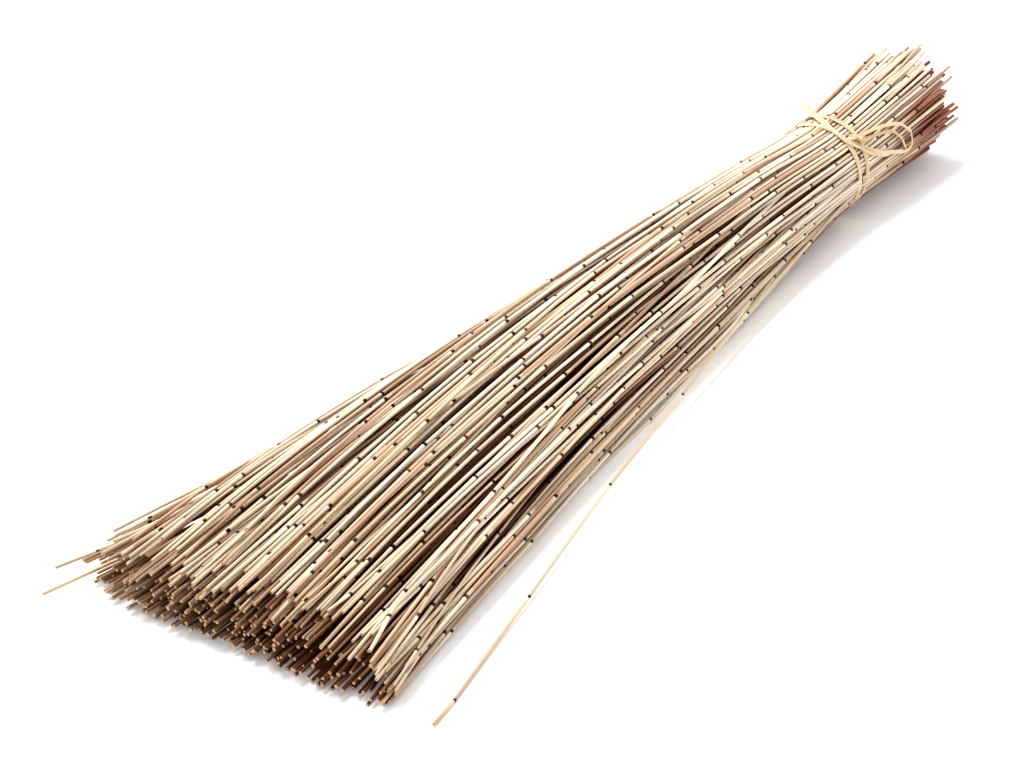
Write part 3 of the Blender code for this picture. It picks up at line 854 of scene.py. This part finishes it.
straw = {
    "tints": [
        (0.00, linear(206, 175, 148)),
        (0.12, linear(228, 206, 181)),
        (0.30, linear(239, 226, 208)),
        (0.50, linear(244, 233, 217)),
        (0.70, linear(242, 229, 206)),
        (0.86, linear(235, 216, 186)),
        (0.95, linear(227, 203, 178)),
        (1.00, linear(204, 170, 146)),
    ],
    "scar": linear(22, 11, 6),
    "cup": linear(246, 236, 216),
    "blush": linear(221, 187, 158),
    # painted shade on reeds deep in the bunch
    "shade": linear(146, 92, 54),
    # painted shade at the cut ends
    "faceShadeTone": linear(230, 221, 210),
    # painted reddish shade in the hollow past the tie, where the reeds' bases are also redder
    "redBaseAndShade": linear(142, 68, 45),
    "cutEnd": linear(208, 178, 142),
    # the hole is painted darker: painted shade in its recess
    "hole": linear(104, 74, 52),
    "lengthTint": 0.10,     # how far the tint differs between the lengths of one reed
    "brightness": 0.95,
    "reedSpread": 0.06,     # how much that differs between reeds
    "lengthSpread": 0.06,   # and between the lengths of one reed
    "cupShare": 0.5,        # how strongly the cups, the painted shade and the painted reddish shade show
    "shadeShare": 0.86,
    "redShare": 0.82,
    # of each four, the first two are values of the source and the others what they become
    "grainShade": (0.3, 0.7, 0.86, 1.08),
    "lengthShade": (0.0, 1.0, 0.86, 1.06),  # from one joint to the next
    "jointBlush": (0.0, 0.25, 0.5, 0.0),
    "blushPatches": (0.35, 0.7, 0.1, 1.0),
    "blushSpots": (0.58, 0.8, 0.0, 0.6),
    # noise: stretch round and along the reed, then scale, detail and roughness
    "grainRound": (2.2, 2.2, 0),
    "grainAlong": (0, 0, 17),
    "grain": (2.4, 4.0, 0.6),
    "blotchAlong": (0, 0, 60),
    "blotch": (1.0, 3.0, 0.55),
    "roughness": 0.50,
    "roughSpread": 0.11,    # to either side, with the grain
    "specular": 0.18,
    "bump": (0.35, 0.25 * mm),              # strength and height
}


def scaled(tree, vector, scale):
    return addNode(tree, "ShaderNodeVectorMath", {0: vector, 1: scale}, operation="MULTIPLY").outputs[0]


def added(tree, a, b):
    return addNode(tree, "ShaderNodeVectorMath", {0: a, 1: b}, operation="ADD").outputs[0]


def noise(tree, vector, scale, detail, roughness):
    return addNode(tree, "ShaderNodeTexNoise", {
        "Vector": vector, "Scale": scale, "Detail": detail, "Roughness": roughness,
    }).outputs["Fac"]


def alongFibres(tree, stretch):
    # place along a reed or a strand
    lengthways = addNode(tree, "ShaderNodeCombineXYZ", {"Z": attribute(tree, "reach")}).outputs[0]
    return scaled(tree, lengthways, stretch)


def roundFibres(tree, stretch):
    # place round it
    around = addNode(tree, "ShaderNodeAttribute", attribute_name="around").outputs["Vector"]
    return scaled(tree, around, stretch)


def addBump(tree, shader, height, strength, distance):
    bump = addNode(tree, "ShaderNodeBump", {"Height": height, "Strength": strength, "Distance": distance})
    tree.links.new(bump.outputs["Normal"], shader.inputs["Normal"])


def strawColour(tree, grain, blotch):
    # tint and brightness of each reed, each of its lengths and its grain, with a blush after the joints
    piece, along = attribute(tree, "piece"), attribute(tree, "along")
    tint = maths(tree, "MULTIPLY_ADD", piece, straw["lengthTint"], attribute(tree, "tint"))
    shade = maths(tree, "MULTIPLY_ADD", attribute(tree, "tone"), straw["reedSpread"], straw["brightness"])
    shade = maths(tree, "MULTIPLY_ADD", piece, straw["lengthSpread"], shade)
    shade = maths(tree, "MULTIPLY", shade, reMap(tree, grain, *straw["grainShade"]))
    shade = maths(tree, "MULTIPLY", shade, reMap(tree, along, *straw["lengthShade"]))
    grey = addNode(tree, "ShaderNodeCombineColor", {"Red": shade, "Green": shade, "Blue": shade}).outputs[0]
    colour = mixColour(tree, 1.0, ramp(tree, tint, straw["tints"]), grey, "MULTIPLY")
    nearJoint = reMap(tree, along, *straw["jointBlush"])
    blushShare = maths(tree, "MULTIPLY", nearJoint, reMap(tree, blotch, *straw["blushPatches"]))
    colour = mixColour(tree, blushShare, colour, straw["blush"])
    return mixColour(tree, reMap(tree, blotch, *straw["blushSpots"]), colour, straw["blush"])


def strawMaterial():
    made, shader = newMaterial("driedReed")
    tree = made.node_tree
    grainPlace = added(tree, roundFibres(tree, straw["grainRound"]), alongFibres(tree, straw["grainAlong"]))
    grain = noise(tree, grainPlace, *straw["grain"])
    blotch = noise(tree, alongFibres(tree, straw["blotchAlong"]), *straw["blotch"])
    colour = strawColour(tree, grain, blotch)
    cupShare = maths(tree, "MULTIPLY", attribute(tree, "cup"), straw["cupShare"])
    colour = mixColour(tree, cupShare, colour, straw["cup"])
    # painted shade at the cut ends
    colour = mixColour(tree, attribute(tree, "face"), colour, straw["faceShadeTone"], "MULTIPLY")
    # painted shade on reeds deep in the bunch
    shaded = mixColour(tree, 1.0, colour, straw["shade"], "MULTIPLY")
    shadeShare = maths(tree, "MULTIPLY", attribute(tree, "cover"), straw["shadeShare"])
    colour = mixColour(tree, shadeShare, colour, shaded)
    # painted reddish shade in the hollow past the tie, where the reeds' bases are also redder
    redShare = maths(tree, "MULTIPLY", attribute(tree, "redBaseAndShade"), straw["redShare"])
    colour = mixColour(tree, redShare, colour, straw["redBaseAndShade"])
    colour = mixColour(tree, attribute(tree, "scar"), colour, straw["scar"])
    cut = attribute(tree, "cut")
    colour = mixColour(tree, reMap(tree, cut, 0.0, 1.0, 0.0, 1.0), colour, straw["cutEnd"])
    # the hole painted darker brown: painted shade in the recess
    colour = mixColour(tree, reMap(tree, cut, 1.0, 2.0, 0.0, 1.0), colour, straw["hole"])
    tree.links.new(colour, shader.inputs["Base Color"])
    shader.inputs["Specular IOR Level"].default_value = straw["specular"]
    smoothest = straw["roughness"] - straw["roughSpread"]
    rough = maths(tree, "MULTIPLY_ADD", grain, 2 * straw["roughSpread"], smoothest)
    tree.links.new(rough, shader.inputs["Roughness"])
    addBump(tree, shader, grain, *straw["bump"])
    return made


reedSkin = strawMaterial()
stems = stemTree()
stemValues = {
    "Sides": stem["sides"], "Hole Share": stem["holeShare"],
    "Hole Depth": stem["holeDepth"], "Skin": reedSkin,
}


def makeReeds(name, runs, replaced):
    piece = runTree(name, lineMesh(name + "Lines", runs), stems, stemValues)
    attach(piece, "root")
    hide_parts(*replaced)


ends = {
    "fanReach": 0.003,     # reeds on the floor reach this far past the sheaf's fanned end
    "endSlant": 0.55,      # for each metre of height they end this much further back
    "endTurn": 0.05,       # and for each metre towards +Y
    "cornerY": 0.107,      # and past this y by this share of the rest
    "cornerBack": 0.30,
    "tuckHeight": 8.0 * mm,                 # reeds lower than this end further back again
    "tuck": 1.4,           # by this much for each metre that they are lower
    "fanRagged": (0.007, 0.36),             # to either side at the floor, and for each metre of height
    "buttRagged": (-0.001, 0.012),          # middle and spread of the butt ends past the sheaf's
    "buttReach": (-0.026, 0.020),           # and their limits
}


def reedEnds(number):
    # where a reed starts and ends: the outer ones as in the frame, the others cut raggedly
    if number < len(guideLines):
        middles = guideLines[number][0]
        return middles[0, 0], middles[-1, 0]
    y, z = settled[number, fanStation]
    ragged = draw.uniform(-1.0, 1.0) * (ends["fanRagged"][0] + ends["fanRagged"][1] * z)
    corner = max(y - ends["cornerY"], 0) * ends["cornerBack"]
    tucked = max(ends["tuckHeight"] - z, 0) * ends["tuck"]
    start = fanEnd - ends["fanReach"] + ends["endSlant"] * z + ends["endTurn"] * y
    start += corner + tucked + ragged
    return start, buttEnd + np.clip(draw.normal(*ends["buttRagged"]), *ends["buttReach"])


runs = []
for number in range(len(settled)):
    start, end = reedEnds(number)
    joints = stem["strayJoints"] if number == bunch["straySlot"] else drawJoints(start, end)
    runs.append(reedRows(number, start, end, joints))
outerRuns = runs[:len(guideLines)]
innerRuns = runs[len(guideLines):]
strayRun = outerRuns.pop(bunch["straySlot"])
makeReeds("outer_reeds", outerRuns, reedNames)
makeReeds("splayed_reed", [strayRun], [strayName])
for number in range(bunch["innerPieces"]):
    makeReeds(f"inner_reeds_{number + 1}", innerRuns[number::bunch["innerPieces"]], ["reed_sheaf"])


# The raffia: fibrous ribbons wound round the bunch twice, crossed over, knotted and tied in a bow.

raffia = {
    "wrapWidth": 7.2 * mm,
    "crossingWidth": 7.4 * mm,
    "loopWidth": 3.4 * mm,
    "knotWidth": 4.4 * mm,
    "clearance": 0.5 * mm,
    "laneWidth": 1.45 * mm,                 # one fibre for each such width of a strand
    "fibreWidth": (0.9, 1.6),               # as a share of its lane
    "waves": 3,                             # added up in each fibre
    "waveTurns": (1, 5),                    # of each, over the whole strand, fewer than the second
    "waveLevel": 1.7,                       # their sum is divided by this
    "fibreStray": 0.30 * mm,                # to the sides
    "liftStray": 0.06 * mm,                 # and up
    "fibreLift": (0.06 * mm, 0.40 * mm),    # every second fibre lies over the others
    "widthStray": 0.18,
    "tipWidth": 0.35,                       # share of the width at the ends of a strand
    "tipLength": 0.06,                      # share of the strand that narrows to them
    "splay": 0.2,                           # the crossing strand's start is this much wider
    "splayLength": 0.25,
    "wrapSteps": 110,
    "strandSteps": 9,
    # middle along the bunch from the tie, wander, where it is widest in degrees
    "wraps": [(-13.0, -1.0, 60), (3.0, 4.0, 135)],
    # millimetres from the tie, degrees round from the -Y side over the top, millimetres over the reeds
    "crossing": [
        (13, 131, 19), (9, 120, 11), (4, 108, 3.5), (-6, 91, 0.8), (-13, 77, 0.8), (-15, 60, 0.8),
        (-11, 48, 0.9), (-2, 38, 0.9), (8, 27, 0.7), (27, 16, 0.6), (45, 8, 0.8),
    ],
    "outerLoop": [
        (0, 47, 1.6), (18, 45, 2.4), (36, 41, 3.0), (56, 34, 3.6), (69, 26, 4.0), (79, 14, 4.0),
        (81, 5, 3.6), (77, -1, 3.0), (69, -2, 2.2), (56, 3, 1.5), (40, 10, 1.1), (20, 20, 1.4), (4, 33, 1.6),
    ],
    "innerLoop": [
        (2, 42, 1.0), (20, 38, 1.2), (38, 33, 1.6), (53, 27, 2.2), (63, 15, 2.6), (69, 5, 2.0),
        (72, -4, 1.0), (71, -10, 0.2),
    ],
    "knotTurns": [
        [(-9, 52, 0.4), (-5, 49, 2.4), (0, 46, 3.2), (4, 43, 2.4), (7, 40, 0.4)],
        [(-4, 56, 0.3), (-4, 51, 2.6), (-1, 46, 3.6), (1, 41, 2.6), (2, 36, 0.3)],
    ],
    "sides": 12,
    "flatness": 0.16,
    "pleats": 7.0,
    "pleatDepth": 0.05,
    "pale": linear(244, 232, 206),
    "gold": linear(206, 166, 114),
    "roughness": 0.55,
    "specular": 0.3,
    # noise: stretch round and along the strand and by its tint, then scale, detail and roughness
    "streakRound": (5, 5, 0),
    "streakAlong": (0, 0, 26),
    "streakTint": (40, 0, 0),
    "streaks": (1.6, 4.0, 0.65),
    "streakShare": (0.35, 0.65, -0.25, 0.75),               # values of the noise, and what they become
    "tintShare": 0.5,
    "bump": (0.6, 0.15 * mm),               # strength and height
}


def skinPoint(x, degrees, height):
    # a place over the reeds at an angle round the bunch, and the way out from it
    share = np.interp(x, stations, np.arange(len(stations)))
    low = min(int(share), len(stations) - 2)
    ring = rings[low] + (rings[low + 1] - rings[low]) * (share - low)
    middle = (ring.min(axis=0) + ring.max(axis=0)) / 2
    distance, angles = polar(ring - middle)
    order = np.argsort(angles)
    turn = math.radians(180 - degrees)
    reach = np.interp(turn, angles[order], distance[order], period=math.tau)
    out = np.array([0, math.cos(turn), math.sin(turn)])
    radius = guideRadii[:, low].max()
    return np.array([x, *middle]) + out * (reach + radius + raffia["clearance"] + height), out


def smoothRoute(route, steps):
    # evenly stepped run through the given knots
    knots = np.array(route, dtype=float)
    at = np.linspace(0, len(knots) - 1, (len(knots) - 1) * steps + 1)
    return smoothThrough(np.arange(len(knots)), knots, at)


def ribbonFibres(route, width, closed=False, splay=0.0):
    # several narrow fibres side by side along a route of (x, degrees, height)
    places, outs = [], []
    for x, degrees, height in route:
        place, out = skinPoint(bunch["tieX"] + x * mm, degrees, height * mm)
        places.append(place)
        outs.append(out)
    places, outs = np.array(places), np.array(outs)
    if closed:
        forward = np.roll(places, -1, axis=0) - np.roll(places, 1, axis=0)
    else:
        forward = np.gradient(places, axis=0)
    forward = forward / np.linalg.norm(forward, axis=1)[:, None]
    side = np.cross(forward, outs)
    side = side / np.linalg.norm(side, axis=1)[:, None]
    outs = np.cross(side, forward)
    t = np.linspace(0, 1, len(places))
    runs = []
    count = max(round(width / raffia["laneWidth"]), 2)
    for fibre in range(count):
        lane = (fibre + 0.5) / count - 0.5
        breadth = draw.uniform(*raffia["fibreWidth"]) * width / count / 2
        waves = draw.integers(*raffia["waveTurns"], raffia["waves"])
        phases = draw.uniform(0, math.tau, raffia["waves"])
        wave = sum(np.sin(t * math.tau * turns + phase) for turns, phase in zip(waves, phases))
        wave = wave / raffia["waveLevel"]
        wider = 1 + splay * np.clip(1 - t / raffia["splayLength"], 0, 1)
        aside = lane * (width - breadth) * wider + wave * raffia["fibreStray"]
        lift = raffia["fibreLift"][fibre % 2] + wave * raffia["liftStray"]
        broad = breadth * (1 + raffia["widthStray"] * np.sin(t * math.tau * waves[0] + phases[1]))
        if not closed:
            fullness = np.clip(np.minimum(t, 1 - t) / raffia["tipLength"], 0, 1)
            broad = broad * (raffia["tipWidth"] + (1 - raffia["tipWidth"]) * fullness)
        run = places + side * aside[:, None] + outs * lift[:, None]
        runs.append((run, outs, broad, draw.uniform(), closed))
    return runs


def raffiaMesh(fibres):
    # one mesh of loose edges, a chain for each fibre, closed in the wraps
    points, outs, broads, tints, reaches, edges = [], [], [], [], [], []
    for run, out, broad, tint, closed in fibres:
        first = len(points)
        count = len(run)
        points += run.tolist()
        outs += out.ravel().tolist()
        broads += broad.tolist()
        tints += [tint] * count
        steps = np.linalg.norm(np.diff(run, axis=0), axis=1)
        reaches += np.concatenate([[0], np.cumsum(steps)]).tolist()
        edges += [(first + k, first + k + 1) for k in range(count - 1)]
        if closed:
            edges.append((first + count - 1, first))
    mesh = bpy.data.meshes.new("raffiaLines")
    mesh.from_pydata(points, edges, [])
    mesh.attributes.new("out", "FLOAT_VECTOR", "POINT").data.foreach_set("vector", outs)
    for label, values in (("broad", broads), ("tint", tints), ("reach", reaches)):
        mesh.attributes.new(label, "FLOAT", "POINT").data.foreach_set("value", values)
    return mesh


def ribbonTree():
    # flat pleated ribbons along the lines
    tree, given, result = newTree("raffiaRibbons", [
        ("Sides", "NodeSocketInt"), ("Flatness", "NodeSocketFloat"), ("Pleats", "NodeSocketFloat"),
        ("Pleat Depth", "NodeSocketFloat"), ("Skin", "NodeSocketMaterial"),
    ])
    lines = addNode(tree, "GeometryNodeMeshToCurve", {"Mesh": given.outputs["Geometry"]})
    turned = addNode(tree, "GeometryNodeSetCurveNormal", {
        "Curve": lines.outputs[0], "Normal": namedFloat(tree, "out", "FLOAT_VECTOR"),
    }, mode="FREE")
    profile = roundProfile(tree, given.outputs["Sides"])
    place = addNode(tree, "GeometryNodeInputPosition")
    parts = addNode(tree, "ShaderNodeSeparateXYZ", {0: place.outputs[0]}).outputs
    thin = maths(tree, "MULTIPLY", parts["X"], given.outputs["Flatness"])
    ripple = maths(tree, "COSINE", maths(tree, "MULTIPLY", parts["Y"], given.outputs["Pleats"]))
    pleated = maths(tree, "MULTIPLY_ADD", ripple, given.outputs["Pleat Depth"], thin)
    squashed = addNode(tree, "ShaderNodeCombineXYZ", {"X": pleated, "Y": parts["Y"]})
    flat = addNode(tree, "GeometryNodeSetPosition", {"Geometry": profile, "Position": squashed.outputs[0]})
    ribbon = addNode(tree, "GeometryNodeCurveToMesh", {
        "Curve": turned.outputs[0], "Profile Curve": flat.outputs[0],
        "Scale": namedFloat(tree, "broad"), "Fill Caps": True,
    })
    soft = addNode(tree, "GeometryNodeSetShadeSmooth", {"Geometry": ribbon.outputs[0], "Shade Smooth": True})
    finishTree(tree, soft, given, result)
    return tree


def raffiaMaterial():
    made, shader = newMaterial("raffia")
    tree = made.node_tree
    shader.inputs["Roughness"].default_value = raffia["roughness"]
    shader.inputs["Specular IOR Level"].default_value = raffia["specular"]
    tinted = addNode(tree, "ShaderNodeCombineXYZ", {"X": attribute(tree, "tint")}).outputs[0]
    place = added(tree, roundFibres(tree, raffia["streakRound"]), alongFibres(tree, raffia["streakAlong"]))
    place = added(tree, place, scaled(tree, tinted, raffia["streakTint"]))
    streaks = noise(tree, place, *raffia["streaks"])
    streakShare = reMap(tree, streaks, *raffia["streakShare"])
    share = maths(tree, "MULTIPLY_ADD", attribute(tree, "tint"), raffia["tintShare"], streakShare)
    colour = mixColour(tree, share, raffia["pale"], raffia["gold"])
    tree.links.new(colour, shader.inputs["Base Color"])
    addBump(tree, shader, streaks, *raffia["bump"])
    return made


fibres = []
for middle, wander, widest in raffia["wraps"]:
    turns = np.linspace(0, 360, raffia["wrapSteps"], endpoint=False)
    route = [(middle + wander * math.cos(math.radians(turn - widest)), turn, 0) for turn in turns]
    fibres += ribbonFibres(route, raffia["wrapWidth"], closed=True)
crossing = smoothRoute(raffia["crossing"], raffia["strandSteps"])
fibres += ribbonFibres(crossing, raffia["crossingWidth"], splay=raffia["splay"])
for loop in (raffia["outerLoop"], raffia["innerLoop"]):
    fibres += ribbonFibres(smoothRoute(loop, raffia["strandSteps"]), raffia["loopWidth"])
for turn in raffia["knotTurns"]:
    fibres += ribbonFibres(smoothRoute(turn, raffia["strandSteps"]), raffia["knotWidth"])
ribbonValues = {
    "Sides": raffia["sides"], "Flatness": raffia["flatness"], "Pleats": raffia["pleats"],
    "Pleat Depth": raffia["pleatDepth"], "Skin": raffiaMaterial(),
}
tie = runTree("raffia_bow", raffiaMesh(fibres), ribbonTree(), ribbonValues)
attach(tie, "root")
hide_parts("raffia_tie")
